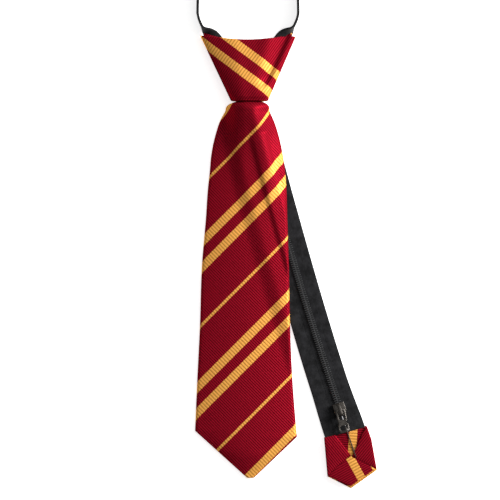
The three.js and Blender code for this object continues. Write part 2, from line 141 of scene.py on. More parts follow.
KNOT_WIDTH, KNOT_WAIST, KNOT_HEIGHT = 66.0, 25.8, 45.8
KNOT_DEPTH_TOP, KNOT_DEPTH_WAIST = 13.0, 17.0
KNOT_WALL, INNER_WALL, GAP = 2.0, 1.2, 0.3
KNOT_BOTTOM = -KNOT_HEIGHT / 2
KNOT_TOP_DIP, CORNER_ROUNDING, WAIST_SHIFT = 3.9, 3.2, 1.0
BLADE_LENGTH, BLADE_WIDTH, BLADE_THICKNESS = 261.0, 70.7, 3.6
BLADE_NECK_HEIGHT = 10.0
TAIL_LENGTH, TAIL_WIDTH, TAIL_MOUTH_WIDTH = 238.0, 25.4, 27.4
LEAN_START, LEAN_END = math.radians(14), math.radians(19)
STRAP_THICKNESS, STRAP_WIDTH, STRAP_KNOT_WIDTH = 1.8, 13.0, 7.0
LOOP_HALF_WIDTH, LOOP_RISE, LOOP_STANDOFF = 34.8, 93.0, 14.5
CHAIN_WIDTH, CHAIN_HEIGHT, ZIP_HEIGHT, TAPE_WIDTH = 4.8, 2.2, 2.2, 2.2
STRAP_IN_KNOT = KNOT_WALL + INNER_WALL + 5 * GAP + STRAP_THICKNESS / 2
STRAP_IN_POCKET = INNER_WALL + GAP + STRAP_THICKNESS / 2
ZIP_WIDTH = CHAIN_WIDTH + 2 * TAPE_WIDTH

# Shares along the tail where the strips have spread, where they widen and where the pocket lifts them
SPREAD_END, MOUTH_START, POCKET_START, POCKET_END = 0.14, 0.85, 0.955, 0.985


def mix(a, b, t):
    return a + (b - a) * t


def along(table, at, column):
    """A column of a table at shares along it: cubic pieces with the neighbours' mean slopes."""
    known = np.array([row["at"] for row in table])
    value = np.array([row[column] for row in table])
    slope = np.gradient(value, known)
    at = np.clip(at, known[0], known[-1])
    i = np.clip(np.searchsorted(known, at) - 1, 0, len(known) - 2)
    span = known[i + 1] - known[i]
    t = (at - known[i]) / span
    ends = value[i] * (1 + 2 * t) * (1 - t) ** 2 + value[i + 1] * t * t * (3 - 2 * t)
    return ends + span * (slope[i] * t * (1 - t) ** 2 - slope[i + 1] * t * t * (1 - t))


# Tail arc

TAIL_RADIUS = TAIL_LENGTH / (LEAN_END - LEAN_START)
TAIL_CENTRE = np.array([WAIST_SHIFT, KNOT_BOTTOM]) + TAIL_RADIUS * np.array(
    [math.cos(LEAN_START), math.sin(LEAN_START)])


def tail_point(s, offset, z):
    """A point at share s of the tail's arc, an offset to its right: the arc's centre less a radius."""
    lean = mix(LEAN_START, LEAN_END, s)
    reach = TAIL_RADIUS - offset
    x = TAIL_CENTRE[0] - reach * np.cos(lean)
    y = TAIL_CENTRE[1] - reach * np.sin(lean)
    return np.stack(np.broadcast_arrays(x, y, z), -1)


def tail_share(x, y):
    """The share along the tail and the offset to its right of points in the plan."""
    back_x, back_y = TAIL_CENTRE[0] - x, TAIL_CENTRE[1] - y
    s = (np.arctan2(back_y, back_x) - LEAN_START) / (LEAN_END - LEAN_START)
    return s, TAIL_RADIUS - np.hypot(back_x, back_y)


def pocket_rise(s):
    return smoothstep(s, POCKET_START, POCKET_END)


def spread(s):
    """How far the strips have spread from inside the knot, at 0, to lie beside the zip, at 1."""
    return smoothstep(s, 0, SPREAD_END)


def strap_height(s):
    lying = STRAP_THICKNESS / 2
    return mix(STRAP_IN_KNOT, lying, spread(s)) + (STRAP_IN_POCKET - lying) * pocket_rise(s)


def strap_width(s):
    whole = mix(TAIL_WIDTH, TAIL_MOUTH_WIDTH, smoothstep(s, MOUTH_START, 1))
    return mix(STRAP_KNOT_WIDTH, (whole - ZIP_WIDTH) / 2 - GAP, spread(s))


def strap_offset(s):
    return mix(GAP, ZIP_WIDTH / 2 + GAP, spread(s)) + strap_width(s) / 2


# Blade

BLADE_OUTLINE = [
    dict(at=-0.04, left=-0.18, right=0.24, lift=0.16, dimple=0.0),
    dict(at=0.001, left=-0.2, right=0.255, lift=0.2, dimple=0.05),
    dict(at=0.007, left=-0.33, right=0.35, lift=0.5, dimple=0.25),
    dict(at=0.03, left=-0.455, right=0.43, lift=0.68, dimple=0.45),
    dict(at=0.054, left=-0.55, right=0.51, lift=0.7, dimple=0.5),
    dict(at=0.086, left=-0.628, right=0.589, lift=0.62, dimple=0.42),
    dict(at=0.118, left=-0.687, right=0.648, lift=0.52, dimple=0.33),
    dict(at=0.15, left=-0.726, right=0.691, lift=0.43, dimple=0.24),
    dict(at=0.182, left=-0.746, right=0.722, lift=0.35, dimple=0.15),
    dict(at=0.235, left=-0.787, right=0.754, lift=0.22, dimple=0.05),
    dict(at=0.309, left=-0.824, right=0.77, lift=0.1, dimple=0.0),
    dict(at=0.437, left=-0.903, right=0.8, lift=0.04, dimple=0.0),
    dict(at=0.596, left=-0.942, right=0.825, lift=0.0, dimple=0.0),
    dict(at=0.756, left=-1.0, right=0.88, lift=0.0, dimple=0.0),
    dict(at=0.9, left=-1.045, right=0.965, lift=0.0, dimple=0.0),
]
LEFT_SHOULDER, RIGHT_SHOULDER = (0.875, -1.04), (0.891, 0.963)
BLADE_TIP = dict(left=-0.02, right=0.12)
DIMPLE_AT, DIMPLE_HALF = -0.2, 0.17
DIMPLE_SHARE, LIFT_OF_WHOLE, LIFT_OF_TOP = 0.62, 0.35, 0.65
RIDGE_HEIGHT, RIDGE_HALF, CROWN_HEIGHT = 2.0, 5.5, 2.8
SEAM_DEPTH, SEAM_HALF = 0.5, 0.9
BLADE_ROWS, BLADE_AROUND = 300, 160


def support_height(x, y):
    """Height that the blade clears: the strips and the zip under it, easing down beside them."""
    s, offset = tail_share(x, y)
    reach = np.abs(offset)
    s0 = np.maximum(s, 0)
    strips = strap_height(s0) + STRAP_THICKNESS / 2 + 2 * GAP
    chain = ZIP_HEIGHT + CHAIN_HEIGHT / 2 + 2 * GAP
    centre = np.where(s > 0.1, np.maximum(chain, strips), strips)
    over = mix(centre, strips, smoothstep(reach, CHAIN_WIDTH / 2 + 1, CHAIN_WIDTH / 2 + 5))
    half = strap_offset(s0) + strap_width(s0) / 2
    return over * (1 - smoothstep(reach, half + 2, half + 14))


def blade_edge(at, column, shoulder):
    share, x = shoulder
    below = mix(x, BLADE_TIP[column], (at - share) / (1 - share))
    return np.where(at <= share, along(BLADE_OUTLINE, at, column), below)


def blade_rings(rows, around):
    """Closed sections of the padded blade: the share across is minus the cosine of the turn.

    The middle height is the drape over the tail plus a lobe that fades away from the knot, less
    a valley for the dimple, plus a soft ridge to its right and a low crown farther down. The skin
    lies half a thickness above and below, rounded at both edges by a quarter circle, and a seam
    makes a shallow groove along the middle of the underside.
    """
    at = np.concatenate([
        np.linspace(-0.04, 0.0, 6)[:-1],
        np.linspace(0.0, 0.3, rows // 2)[:-1],
        np.linspace(0.3, LEFT_SHOULDER[0], rows // 3),
        np.linspace(LEFT_SHOULDER[0], 1, rows // 4)[1:],
    ])[:, None]
    turn = 2 * np.pi * np.arange(around)[None, :] / around
    share = -np.cos(turn)
    side = np.where(np.arange(around) <= around // 2, 1.0, -1.0)[None, :]
    left = blade_edge(at, "left", LEFT_SHOULDER)
    right = blade_edge(at, "right", RIGHT_SHOULDER)
    half = BLADE_WIDTH / 2
    x = mix(left, right, (share + 1) / 2) * half
    y = KNOT_BOTTOM - at * BLADE_LENGTH + 0 * x
    lobe = 1 - np.abs(share) ** 2.2
    lift = BLADE_NECK_HEIGHT * along(BLADE_OUTLINE, at, "lift")
    dimple = BLADE_NECK_HEIGHT * along(BLADE_OUTLINE, at, "dimple")
    base = support_height(x, y) + LIFT_OF_WHOLE * lift * lobe
    valley = 1 - smoothstep(x / half, DIMPLE_AT - DIMPLE_HALF, DIMPLE_AT + DIMPLE_HALF)
    ridge_x = mix(5.5, 15.0, smoothstep(at, 0.02, 0.2))
    ridge_fade = (1 - smoothstep(at, 0.12, 0.34)) * smoothstep(at, 0.004, 0.03)
    ridge = RIDGE_HEIGHT * ridge_fade * bump(x, ridge_x, RIDGE_HALF)
    crown_fade = smoothstep(at, 0.1, 0.4) * (1 - smoothstep(at, 0.93, 1))
    crown = CROWN_HEIGHT * crown_fade * (1 - share ** 2)
    folds = LIFT_OF_TOP * lift * lobe - DIMPLE_SHARE * dimple * valley * lobe + ridge * lobe + crown
    width = (right - left) * half
    rounding = np.clip((np.abs(share) - 1) * width / BLADE_THICKNESS + 1, 0, 1)
    skin = BLADE_THICKNESS / 2 * np.sqrt(1 - rounding ** 2)
    middle = base + BLADE_THICKNESS / 2 + np.where(side > 0, folds * (1 - rounding ** 2), 0)
    seam = SEAM_DEPTH * bump(x, (left + right) / 2 * half, SEAM_HALF)
    seam = np.where(side < 0, seam, 0) * (at > 0.05)
    z = middle + side * skin + seam
    return np.stack([x, y, z], -1)


def round_arc(rings, start):
    """Arc length round each section from its middle: to the right positive, to the left negative."""
    section = rings[..., [0, 2]]
    steps = np.linalg.norm(np.diff(section, axis=1, append=section[:, :1]), axis=-1)
    lengths = np.cumsum(np.concatenate([np.zeros((len(rings), 1)), steps[:, :-1]], 1), 1)
    from_start = lengths - lengths[:, start:start + 1]
    whole = steps.sum(1, keepdims=True)
    return np.where(from_start > whole / 2, from_start - whole, from_start)


def blade_cloth(rings):
    """Cloth coordinates: stripes rise to the right at 45 degrees, measured over the surface."""
    top = rings.shape[1] // 4
    right = rings[:, top, :1] + round_arc(rings, top)
    down = -rings[..., 1]
    across = (right + down) / math.sqrt(2) - BLADE_PHASE_MM
    run = (right - down) / math.sqrt(2)
    return np.stack([across, run], -1)


def make_blade(material):
    rings = blade_rings(BLADE_ROWS, BLADE_AROUND)
    points, faces = loft(rings)
    cloth = blade_cloth(rings).reshape(-1, 2)
    cloth = np.vstack([cloth, cloth[:1], cloth[-1:]])
    blade = mesh_piece("blade_cloth", points, faces, material, cloth, slot="striped_cloth")
    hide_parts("blade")


# Knot

STRIPE_FALL = math.radians(36.5)
KNOT_STRIPE_STRETCH, KNOT_PHASE_MM = 1.05, 36.2
SQUARENESS, UNDERSIDE_PRESS = 3.4, 1.2
CREASE_DEPTH, CREASE_LEFT_HALF, CREASE_RIGHT_HALF = 3.0, 7.5, 3.2
SWELL_HEIGHT, SWELL_HALF, TUCK_DEPTH = 1.2, 6.5, 1.2
RIM_ROUNDING, INNER_RISE = 0.35, 0.7


def wrap_points(inset, rise, rounding, around, rows):
    """Sections of a wrap wall: a flattened superellipse that widens from the waist to the top.

    Its lower half is cut off flat where it rests, its top edge dips in the middle and its corners
    are rounded off. A long crease runs down the right side, with a swell beside it, and the left
    side falls away in a hollow.
    """
    square = 2 / SQUARENESS
    t = np.arange(around)[None, :] / around
    v = np.linspace(0, 1, rows)[:, None]
    c, s = np.cos(2 * np.pi * t), np.sin(2 * np.pi * t)
    share = np.sign(c) * np.abs(c) ** square
    lobe = np.sign(s) * np.abs(s) ** square * np.where(s < 0, UNDERSIDE_PRESS, 1.0)
    half_width = mix(KNOT_WAIST, KNOT_WIDTH, v) / 2
    half = mix(KNOT_DEPTH_WAIST, KNOT_DEPTH_TOP, v) / 2
    x = mix(WAIST_SHIFT, 0, v) + share * (half_width - inset)
    z = np.maximum(inset, half + lobe * (half - inset))
    top_edge = KNOT_HEIGHT / 2 - KNOT_TOP_DIP * (1 - share ** 2)
    corner = rounding * np.abs(share) ** 8 * np.where(share > 0, 0.55, 0.35)
    cut = corner - rise * (2 * share ** 2 - 1)
    y = mix(KNOT_BOTTOM, top_edge - cut, v)
    upper = smoothstep(s, 0.02, 0.3)
    crease_x = mix(5.8, 26.2, v)
    flank = np.where(x < crease_x, CREASE_LEFT_HALF, CREASE_RIGHT_HALF)
    crease = CREASE_DEPTH * smoothstep(v, 0.1, 0.4) * bump(x, crease_x, flank)
    hollow_x = mix(-8.5, -13.0, v)
    hollow = mix(2.8, 2.0, v) * (1 - smoothstep(x, hollow_x - mix(6, 16, v), hollow_x + 7))
    swell = SWELL_HEIGHT * smoothstep(v, 0.0, 0.2) * bump(x, mix(5.5, 14.0, v), SWELL_HALF)
    tuck = TUCK_DEPTH * (1 - smoothstep(v, 0, 0.07))
    z = z + upper * (swell - crease - hollow - tuck)
    return np.stack(np.broadcast_arrays(x, y, z), -1)


def knot_cloth(rings, start):
    """Cloth coordinates: stripes fall to the right, measured over the surface from its middle."""
    right = rings[:, start, :1] - round_arc(rings, start)
    y = rings[..., 1]
    across = -y * math.cos(STRIPE_FALL) - right * math.sin(STRIPE_FALL)
    run = right * math.cos(STRIPE_FALL) - y * math.sin(STRIPE_FALL)
    return np.stack([across / KNOT_STRIPE_STRETCH + KNOT_PHASE_MM, run], -1)


def make_wrap(name, node, material, *, inset, wall, rise, rounding, fine):
    """A hollow wrap: the outer wall's sections, rounded over the rims, then the inner wall's."""
    around, rows = fine
    outer = wrap_points(inset, rise, rounding, around, rows)
    inner = wrap_points(inset + wall, rise, rounding, around, rows)
    middle = (outer + inner) / 2
    top_rim = middle[-1:] + [[[0, RIM_ROUNDING, 0]]]
    low_rim = middle[:1] - [[[0, RIM_ROUNDING, 0]]]
    rings = np.concatenate([outer, top_rim, inner[::-1], low_rim])
    count = len(rings)
    points = rings.reshape(-1, 3)
    faces = list(map(tuple, grid_faces(count, around, 0, True)))
    j = np.arange(around)
    k = (j + 1) % around
    last = (count - 1) * around
    faces += list(map(tuple, np.stack([last + j, last + k, k, j], -1)))
    cloth = knot_cloth(rings, around // 4).reshape(-1, 2)
    piece = mesh_piece(name, points, faces, material, cloth, slot="striped_cloth")
    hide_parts(node)


# Materials

def new_material(name):
    """A material with an empty tree but for its surface and output, and that tree."""
    material = bpy.data.materials.new(name)
    material.use_nodes = True
    tree = material.node_tree
    return material, tree, tree.nodes["Principled BSDF"]


def add_node(tree, kind, inputs=(), **settings):
    """A shader node with its settings, its inputs given as values or as other nodes' outputs."""
    node = tree.nodes.new(kind)
    for key, value in settings.items():
        setattr(node, key, value)
    for key, value in dict(inputs).items():
        if isinstance(value, bpy.types.NodeSocket):
            tree.links.new(value, node.inputs[key])
        else:
            node.inputs[key].default_value = value
    return node


def maths(tree, operation, *values):
    return add_node(tree, "ShaderNodeMath", dict(enumerate(values)), operation=operation).outputs[0]


def mixed(tree, share, first, second):
    """The mix of two colours, each a hex text or another node's output."""
    colours = [linear(c) if isinstance(c, str) else c for c in (first, second)]
    node = add_node(tree, "ShaderNodeMix", {0: share}, data_type="RGBA")
    for socket, colour in zip((node.inputs[6], node.inputs[7]), colours):
        if isinstance(colour, bpy.types.NodeSocket):
            tree.links.new(colour, socket)
        else:
            socket.default_value = colour
    return node.outputs[2]


def noise(tree, place, scale, detail):
    """Soft noise over a place, from 0 to 1."""
    inputs = {"Vector": place, "Scale": scale, "Detail": detail}
    return add_node(tree, "ShaderNodeTexNoise", inputs).outputs[0]


def raised(tree, surface, height, distance, strength):
    """Gives the surface a fine relief from a height, its depth in metres."""
    inputs = {"Height": height, "Distance": distance, "Strength": strength}
    relief = add_node(tree, "ShaderNodeBump", inputs)
    tree.links.new(relief.outputs[0], surface.inputs["Normal"])


def band(tree, across, centre, width):
    """One inside a stripe of the repeat, nothing outside it."""
    off = maths(tree, "SUBTRACT", across, centre)
    wrapped = maths(tree, "WRAP", off, -STRIPE_REPEAT_MM / 2, STRIPE_REPEAT_MM / 2)
    distance = maths(tree, "ABSOLUTE", wrapped)
    outside, inside = width / 2 + STRIPE_SOFTNESS_MM, width / 2 - STRIPE_SOFTNESS_MM
    inputs = {0: distance, 1: outside, 2: inside, 3: 0.0, 4: 1.0}
    return add_node(tree, "ShaderNodeMapRange", inputs, interpolation_type="SMOOTHSTEP").outputs[0]


def wave(tree, run, pitch):
    """A rounded rib profile between 0 and 1 along the run, one rib for each pitch."""
    turn = maths(tree, "MULTIPLY", run, 2 * math.pi / pitch)
    return maths(tree, "MULTIPLY_ADD", maths(tree, "SINE", turn), 0.5, 0.5)


def striped_cloth():
    """Woven necktie silk, or polyester made like it: a ribbed dark red ground with gold stripes.

    The eye sees a soft satin gloss in the cloth's own colour, fine ribs square to the stripes,
    and floats of gold yarn that are tied down by cross lines. The colour of the ribs and of the
    cross lines is painted darker where the relief dips: painted shade in the grooves.
    """
    material, tree, surface = new_material("striped_cloth")
    place = add_node(tree, "ShaderNodeAttribute", attribute_name="cloth").outputs["Vector"]
    flat = add_node(tree, "ShaderNodeSeparateXYZ", {0: place})
    across, run = flat.outputs[0], flat.outputs[1]
    jitter = maths(tree, "MULTIPLY_ADD", noise(tree, place, 0.9, 3.0), 0.5, -0.25)
    edge_across = maths(tree, "ADD", across, jitter)
    run_moved = maths(tree, "MULTIPLY_ADD", jitter, 0.8, run)
    red_rib = wave(tree, run_moved, RED_RIB_MM)
    gold_rib = maths(tree, "POWER", wave(tree, run_moved, GOLD_RIB_MM), 0.35)
    thin = band(tree, edge_across, 0.0, THIN_STRIPE_MM)
    first = band(tree, edge_across, FIRST_WIDE_AT_MM, WIDE_STRIPE_MM)
    second = band(tree, edge_across, SECOND_WIDE_AT_MM, WIDE_STRIPE_MM)
    gold = maths(tree, "MAXIMUM", thin, maths(tree, "MAXIMUM", first, second))
    # The red and the gold turn darker along each rib's dip, where the relief sinks: painted shade in the
    # grooves, on top of the real bump below.
    red_with_groove_shade = mixed(tree, red_rib, "4e050d", "880f20")
    gold_with_groove_shade = mixed(tree, gold_rib, "8a5c1c", "dc9c4c")
    shade = maths(tree, "MULTIPLY_ADD", noise(tree, place, 4.0, 2.0), 0.5, 0.75)
    colour = mixed(tree, gold, red_with_groove_shade, gold_with_groove_shade)
    shaded = add_node(tree, "ShaderNodeVectorMath", {0: colour}, operation="SCALE")
    tree.links.new(shade, shaded.inputs["Scale"])
    tree.links.new(shaded.outputs[0], surface.inputs["Base Color"])
    height = maths(tree, "MULTIPLY_ADD", maths(tree, "SUBTRACT", gold_rib, red_rib), gold, red_rib)
    raised(tree, surface, height, 0.00016, 0.7)
    gloss = mixed(tree, gold, "ff3044", "ffd890")
    tree.links.new(gloss, surface.inputs["Specular Tint"])
    surface.inputs["Metallic"].default_value = 0.3
    surface.inputs["Roughness"].default_value = 0.42
    surface.inputs["Specular IOR Level"].default_value = 0.0
    return material


def black_cloth():
    """Black brushed polyester band: matt, with the faint mottle of a short nap."""
    material, tree, surface = new_material("black_cloth")
    place = add_node(tree, "ShaderNodeTexCoord").outputs["Object"]
    nap = noise(tree, place, 900.0, 4.0)
    both = maths(tree, "MULTIPLY_ADD", nap, 0.5, noise(tree, place, 210.0, 5.0))
    share = add_node(tree, "ShaderNodeMapRange", {0: both, 1: 0.55, 2: 0.95}).outputs[0]
    colour = mixed(tree, share, "020203", "1b1b1d")
    tree.links.new(colour, surface.inputs["Base Color"])
    raised(tree, surface, nap, 0.0002, 0.5)
    surface.inputs["Roughness"].default_value = 0.9
    surface.inputs["Specular IOR Level"].default_value = 0.2
    surface.inputs["Sheen Weight"].default_value = 0.05
    return material


def dark_metal():
    """Gunmetal plating on cast zinc: near black, with bright narrow glints on rounded edges."""
    material, tree, surface = new_material("dark_metal")
    wear = noise(tree, add_node(tree, "ShaderNodeTexCoord").outputs["Object"], 1200.0, 3.0)
    colour = mixed(tree, wear, "36332f", "5f5b57")
    tree.links.new(colour, surface.inputs["Base Color"])
    rough = maths(tree, "MULTIPLY_ADD", wear, 0.2, 0.3)
    tree.links.new(rough, surface.inputs["Roughness"])
    surface.inputs["Metallic"].default_value = 1.0
    return material


def dark_teeth():
    """Black moulded zip teeth: a satin resin that catches small grey glints on its nibs."""
    material, tree, surface = new_material("dark_teeth")
    surface.inputs["Base Color"].default_value = linear("1a1a1b")
    surface.inputs["Roughness"].default_value = 0.35
    surface.inputs["Specular IOR Level"].default_value = 0.6
    return material


STRIPED, BLACK, METAL, TEETH = striped_cloth(), black_cloth(), dark_metal(), dark_teeth()
make_blade(STRIPED)
make_wrap("knot_outer_cloth", "knot_outer_wrap", STRIPED, inset=0.0, wall=KNOT_WALL, rise=0.0,
          rounding=CORNER_ROUNDING, fine=(240, 120))
make_wrap("knot_inner_cloth", "knot_inner_wrap", STRIPED, inset=KNOT_WALL + GAP, wall=INNER_WALL,
          rise=INNER_RISE, rounding=0.0, fine=(160, 60))


# Straps

# The way through the knot, as shares of its half width, its height and the rise to the loop
KNOT_ROUTE = [
    dict(x=0.17, y=-0.3, up=0.05), dict(x=0.23, y=-0.08, up=0.1), dict(x=0.4, y=0.14, up=0.2),
    dict(x=0.52, y=0.31, up=0.35), dict(x=0.68, y=0.43, up=0.5), dict(x=0.82, y=0.515, up=0.65),
    dict(x=0.93, y=0.59, up=0.85),
]
LOOP_BASE = KNOT_HEIGHT / 2 + LOOP_STANDOFF
EDGE_HEIGHT = STRAP_WIDTH / 2 + GAP
POCKET_DEPTH = 8.0
POCKET_SHARE = (POCKET_DEPTH - GAP) / TAIL_LENGTH
LEFT_WIDER, RIGHT_WIDER = 2.4, -1.0
STRAP_CORNER_WIDTH, WIDEN_FROM_Y, WIDEN_TO_Y = 9.0, 12.0, 22.0
TURN_FROM_Y, TURN_TO_Y = 17.5, 29.0
STRAP_AROUND = 20


def spline(points, t):
    """A centripetal Catmull-Rom curve through points, at shares t of its count of spans."""
    points = np.asarray(points, float)
    padded = np.vstack([2 * points[0] - points[1], points, 2 * points[-1] - points[-2]])
    place = np.clip(t, 0, 1) * (len(points) - 1)
    i = np.minimum(place.astype(int), len(points) - 2)
    w = (place - i)[:, None]
    p0, p1, p2, p3 = (padded[i + k] for k in range(4))
    spans = ((p0, p1), (p1, p2), (p2, p3))
    d0, d1, d2 = (np.linalg.norm(b - a, axis=1)[:, None] ** 0.5 for a, b in spans)
    m1 = ((p1 - p0) / d0 - (p2 - p0) / (d0 + d1) + (p2 - p1) / d1) * d1
    m2 = ((p2 - p1) / d1 - (p3 - p1) / (d1 + d2) + (p3 - p2) / d2) * d1
    return p1 + m1 * w + (3 * (p2 - p1) - 2 * m1 - m2) * w ** 2 + (2 * (p1 - p2) + m1 + m2) * w ** 3


def strap_line(side):
    """The strip's middle line, its quarter turn from 0 to 1 and its width, from tip to loop."""
    s = np.linspace(1, 0, 110) ** 1.3 * (1 + POCKET_SHARE)
    wider = (LEFT_WIDER if side < 0 else RIGHT_WIDER) * smoothstep(s, 0.3, 0.9)
    tail = tail_point(s, side * (strap_offset(s) + wider / 2), strap_height(s))
    inside = [(
        side * row["x"] * KNOT_WIDTH / 2 + mix(WAIST_SHIFT, 0, row["y"] + 0.5),
        row["y"] * KNOT_HEIGHT,
        mix(STRAP_IN_KNOT, EDGE_HEIGHT, row["up"]),
    ) for row in KNOT_ROUTE]
    bend = (side * LOOP_HALF_WIDTH * 0.965, LOOP_BASE - LOOP_STANDOFF * 0.32, EDGE_HEIGHT)
    gate = (side * LOOP_HALF_WIDTH, LOOP_BASE, EDGE_HEIGHT)
    route = spline([tail[-1], *inside, bend, gate], np.linspace(0, 1, 110)[1:])
    out = smoothstep(route[:, 1], TURN_FROM_Y, TURN_TO_Y)
    widening = smoothstep(route[:, 1], WIDEN_FROM_Y, WIDEN_TO_Y)
    route_width = mix(STRAP_KNOT_WIDTH, STRAP_CORNER_WIDTH, widening)
    route_width = route_width + (STRAP_WIDTH - STRAP_CORNER_WIDTH) * out
    angle = np.linspace(0, np.pi / 2, 90)[1:]
    loop_x = side * LOOP_HALF_WIDTH * np.cos(angle)
    loop_y = LOOP_BASE + LOOP_RISE * np.sin(angle)
    loop = np.stack([loop_x, loop_y, np.full_like(angle, EDGE_HEIGHT)], -1)
    line = np.vstack([tail, route, loop])
    turn = np.concatenate([0 * s, out, np.ones_like(angle)])
    width = np.concatenate([strap_width(s) + wider, route_width, np.full_like(angle, STRAP_WIDTH)])
    return line, turn, width


def strap_section(width):
    """A flat bar's rounded section: places across and up for each width, round a full turn."""
    phi = 2 * np.pi * np.arange(STRAP_AROUND) / STRAP_AROUND
    c, s = np.cos(phi), np.sin(phi)
    rim = STRAP_THICKNESS / 2
    flat_part = (width[:, None] / 2 - rim) * np.minimum(1, np.abs(c) * 3)
    across = np.sign(c) * (flat_part + rim * np.abs(c) ** 0.6)
    up = rim * np.sign(s) * np.abs(s) ** 0.6 + 0 * across
    return across[..., None], up[..., None]


def strap_rings(side):
    """Sections of one strip through the tail, the knot and half of the neck loop, with its turn."""
    line, turn, width = strap_line(side)
    ahead = np.gradient(line, axis=0) * [1, 1, 0]
    ahead /= np.linalg.norm(ahead, axis=1)[:, None]
    flat = np.stack([ahead[:, 1], -ahead[:, 0], 0 * turn], -1)
    tilt = (side * turn * np.pi / 2)[:, None]
    across = flat * np.cos(tilt) + np.cross(ahead, flat) * np.sin(tilt)
    up = np.cross(across, ahead)
    section_across, section_up = strap_section(width)
    rings = line[:, None] + across[:, None] * section_across + up[:, None] * section_up
    steps = np.linalg.norm(np.diff(line, axis=0), axis=1)
    area = (steps * (width[1:] + width[:-1]) / 2).sum()
    return rings, steps.sum(), area


def make_strap(name, node, side):
    rings, length, area = strap_rings(side)
    strip = mesh_piece(name, *loft(rings), BLACK, slot="black_cloth")
    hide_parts(node)


# Zip

CHAIN_START, SLIDER_SHARE, SLIDER_LENGTH = 0.15, 0.936, 9.4
TAPE_THICKNESS, TAPE_DROP, TAPE_INNER_EDGE, TAPE_SEWN_IN = 0.5, 0.6, 0.2, 0.6
TAPE_END = 1 + POCKET_SHARE
TOOTH_PITCH = 1.5
TOOTH_HALF = 0.55 * TOOTH_PITCH
TOOTH_HUB = 1.0

# Half a tooth's outline from above: millimetres out from the tail's middle, and the share of its
# half length there. Each level has a share of half the chain's height and a scale round the hub.
TOOTH_PROFILE = [(-0.55, 0.35), (0.0, 0.62), (1.35, 0.62), (2.1, 0.5), (2.4, 0.3)]
TOOTH_LEVELS = [(-1.0, 0.8), (-0.55, 1.0), (0.55, 1.0), (1.0, 0.72)]


def zip_height(s):
    return ZIP_HEIGHT + (STRAP_IN_POCKET - STRAP_THICKNESS / 2) * pocket_rise(s)


def make_tape(name, node, side):
    """A flat tape beside the teeth; its outer edge goes into the strip's cloth, where it is sewn."""
    s = np.linspace(CHAIN_START, TAPE_END, 200)[:, None]
    near, far = TAPE_INNER_EDGE, ZIP_WIDTH / 2 + GAP + TAPE_SEWN_IN
    offset, up = np.array([[near, -1], [near, 1], [far, 1], [far, -1]]).T
    height = zip_height(s) - TAPE_DROP + up * TAPE_THICKNESS / 2
    tape = mesh_piece(name, *loft(tail_point(s, side * offset, height)), BLACK,
                      slot="black_cloth", smooth=False)
    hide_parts(node)


def make_teeth(name, node):
    """Closed moulded teeth in two staggered rows: each is a rounded nib that reaches past the middle."""
    end = SLIDER_SHARE + SLIDER_LENGTH * 0.3 / TAIL_LENGTH
    count = int((end - CHAIN_START) * TAIL_LENGTH / TOOTH_PITCH)
    outline = TOOTH_PROFILE + [(reach, -half) for reach, half in TOOTH_PROFILE[::-1]]
    ring = len(outline)
    points, faces = [], []
    for side in (-1, 1):
        for k in range(count):
            s = CHAIN_START + (k + 0.5 + side * 0.25) * TOOTH_PITCH / TAIL_LENGTH
            start = len(points)
            last = start + (len(TOOTH_LEVELS) - 1) * ring
            for level, scale in TOOTH_LEVELS:
                for reach, half in outline:
                    offset = side * mix(TOOTH_HUB, reach, scale)
                    share = s + half * scale * TOOTH_HALF / TAIL_LENGTH
                    z = zip_height(s) + level * CHAIN_HEIGHT / 2
                    points.append(tail_point(share, offset, z))
            faces += [tuple(f) for f in grid_faces(len(TOOTH_LEVELS), ring, start, True)]
            faces.append(tuple(range(start, start + ring)))
            faces.append(tuple(range(last, last + ring)))
    teeth = mesh_piece(name, np.array(points), faces, TEETH, slot="dark_metal", smooth=False)
    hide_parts(node)


# Folded tip

def from_photo(pixels):
    """Millimetres in the plan of points measured in the photo's pixels."""
    pixels = np.asarray(pixels, float)
    return np.stack([(pixels[..., 0] - KNOT_AXIS_PIXEL) * PIXEL_MM,
                     (KNOT_MIDDLE_PIXEL - pixels[..., 1]) * PIXEL_MM], -1)


# Each layer's corners, its middle and two points on a line along its stripes are photo pixels.
# The heights and the crown are millimetres, and across is the pattern's place on that line.
TIP_LAYERS = [
    dict(name="tip_underside", middle_px=(349, 458), low=0.0, high=1.6, crown=0.0,
         corners_px=[(324, 437.4), (366.2, 425.5), (371.3, 439.3), (376.8, 469.9), (351.1, 488.2),
                     (327.4, 476.3)],
         stripe_px=[(351.1, 488.0), (376.8, 469.9)], across=FIRST_WIDE_AT_MM),
    dict(name="tip_inner_layer", middle_px=(349, 458), low=3.7, high=5.1, crown=0.0,
         corners_px=[(325, 438.2), (366, 426.6), (371, 440), (374.8, 468.3), (350.4, 485.4),
                     (328, 475)],
         stripe_px=[(353.4, 428), (351.6, 455)], across=FIRST_WIDE_AT_MM),
    dict(name="tip_bottom_flap", middle_px=(351, 470), low=5.1, high=6.1, crown=0.25,
         corners_px=[(350.5, 455.3), (353, 456.3), (372.2, 466.2), (374.9, 468.5), (350.5, 485.7),
                     (327.7, 475.7), (335.4, 467.3)],
         stripe_px=[(349.6, 457), (361.9, 479)], across=FIRST_WIDE_AT_MM),
    dict(name="tip_left_flap", middle_px=(334, 452), low=5.3, high=6.4, crown=0.3,
         corners_px=[(324.2, 437.3), (335.0, 434.6), (350.8, 455.2), (346.3, 458.2),
                     (335.4, 467.5), (327.5, 475.6)],
         stripe_px=[(330, 465), (346, 452)], across=7),
    dict(name="tip_right_flap", middle_px=(366.5, 449), low=5.2, high=6.3, crown=0.3,
         corners_px=[(365.4, 426.0), (366.8, 425.9), (371.4, 439.3), (376.6, 468.9),
                     (372.2, 466.6), (351.6, 456.6)],
         stripe_px=[(352, 456), (369, 470)], across=2.2),
]

